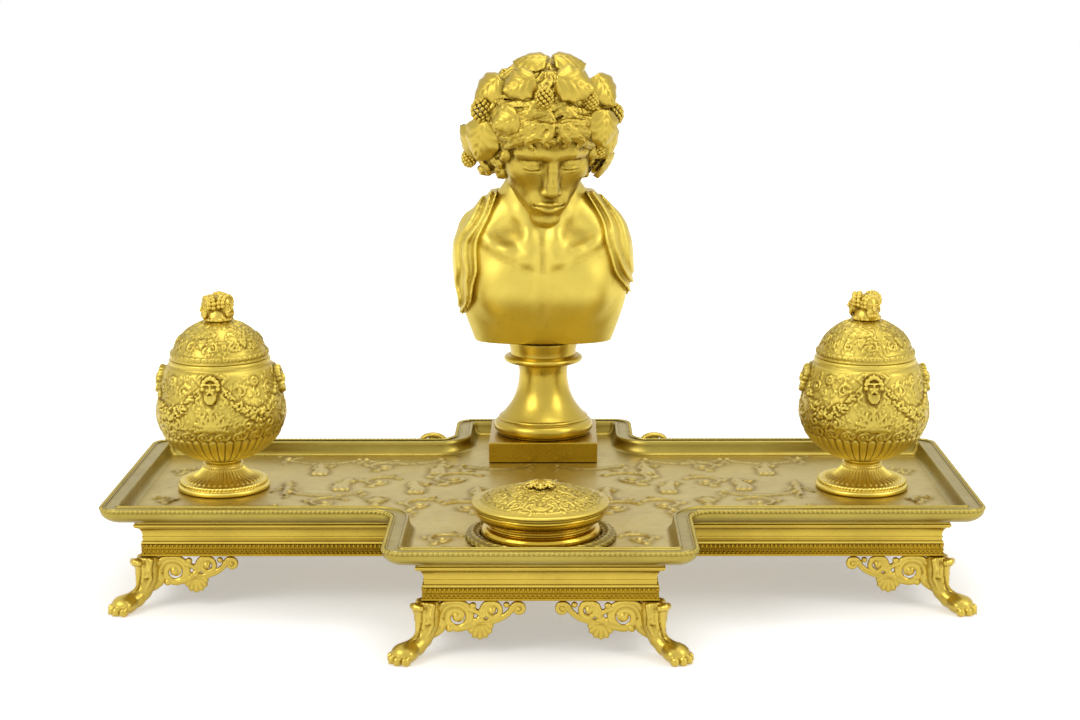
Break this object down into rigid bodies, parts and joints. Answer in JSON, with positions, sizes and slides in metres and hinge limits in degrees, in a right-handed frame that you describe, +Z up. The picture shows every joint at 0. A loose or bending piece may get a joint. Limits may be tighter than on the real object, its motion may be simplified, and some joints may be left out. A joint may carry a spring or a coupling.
{
  "type": "desk inkstand",
  "caption": "Cross-shaped gilt desk inkstand on paw feet, with covered urn inkwells, a low covered pot and a wreathed bust.",
  "frame": {"origin": "on the table, under the middle of the tray", "axes": "+Z up, front towards -Y, +X to the right along the wings"},
  "size_m": [0.466, 0.29, 0.29],
  "materials": {
    "satin_gilt": "satin fire-gilt bronze",
    "matt_gilt": "matt, chased gilt bronze",
    "pale_gilt": "worn, pale gilt bronze",
    "bust_gilt": "satin gilt bronze",
    "liner_glass": "clear moulded glass",
    "fastener_steel": "plain turned steel"
  },
  "bodies": {
    "stand": {"tray": "pale_gilt", "apron": "satin_gilt", "leaf_band": "matt_gilt", "rear_scroll_left": "satin_gilt", "rear_scroll_right": "satin_gilt", "foot_wing_front_left": "satin_gilt", "foot_wing_front_right": "satin_gilt", "foot_front_lobe_left": "satin_gilt", "foot_front_lobe_right": "satin_gilt", "foot_wing_back_left": "satin_gilt", "foot_wing_back_right": "satin_gilt", "foot_back_lobe_left": "satin_gilt", "foot_back_lobe_right": "satin_gilt", "foot_screw_wing_front_left": "fastener_steel", "foot_screw_wing_front_right": "fastener_steel", "foot_screw_front_lobe_left": "fastener_steel", "foot_screw_front_lobe_right": "fastener_steel", "foot_screw_wing_back_left": "fastener_steel", "foot_screw_wing_back_right": "fastener_steel", "foot_screw_back_lobe_left": "fastener_steel", "foot_screw_back_lobe_right": "fastener_steel", "left_well_foot": "matt_gilt", "left_well_body": "matt_gilt", "left_well_liner": "liner_glass", "left_well_stud": "fastener_steel", "left_well_nut": "fastener_steel", "right_well_foot": "matt_gilt", "right_well_body": "matt_gilt", "right_well_liner": "liner_glass", "right_well_stud": "fastener_steel", "right_well_nut": "fastener_steel", "pot_wreath_ring": "pale_gilt", "pot_body": "satin_gilt", "pot_liner": "liner_glass", "pot_stud": "fastener_steel", "pot_nut": "fastener_steel", "bust_plinth": "satin_gilt", "bust_socle": "satin_gilt", "bust_torso": "bust_gilt", "bust_cloak": "bust_gilt", "bust_head": "bust_gilt", "tie_rod": "fastener_steel", "tie_washer": "fastener_steel", "tie_nut": "fastener_steel"},
    "left_cover": {"left_well_lid": "matt_gilt", "left_well_finial": "satin_gilt", "left_finial_nut": "fastener_steel"},
    "right_cover": {"right_well_lid": "matt_gilt", "right_well_finial": "satin_gilt", "right_finial_nut": "fastener_steel"},
    "pot_cover": {"pot_lid": "matt_gilt", "pot_knob": "satin_gilt", "pot_knob_nut": "fastener_steel"}
  },
  "joints": [
    {"name": "left_lid_lift", "type": "slide", "parent": "stand", "child": "left_cover", "axis": [0, 0, 1], "range_m": [0, 0.06]},
    {"name": "right_lid_lift", "type": "slide", "parent": "stand", "child": "right_cover", "axis": [0, 0, 1], "range_m": [0, 0.06]},
    {"name": "pot_lid_lift", "type": "slide", "parent": "stand", "child": "pot_cover", "axis": [0, 0, 1], "range_m": [0, 0.06]}
  ]
}
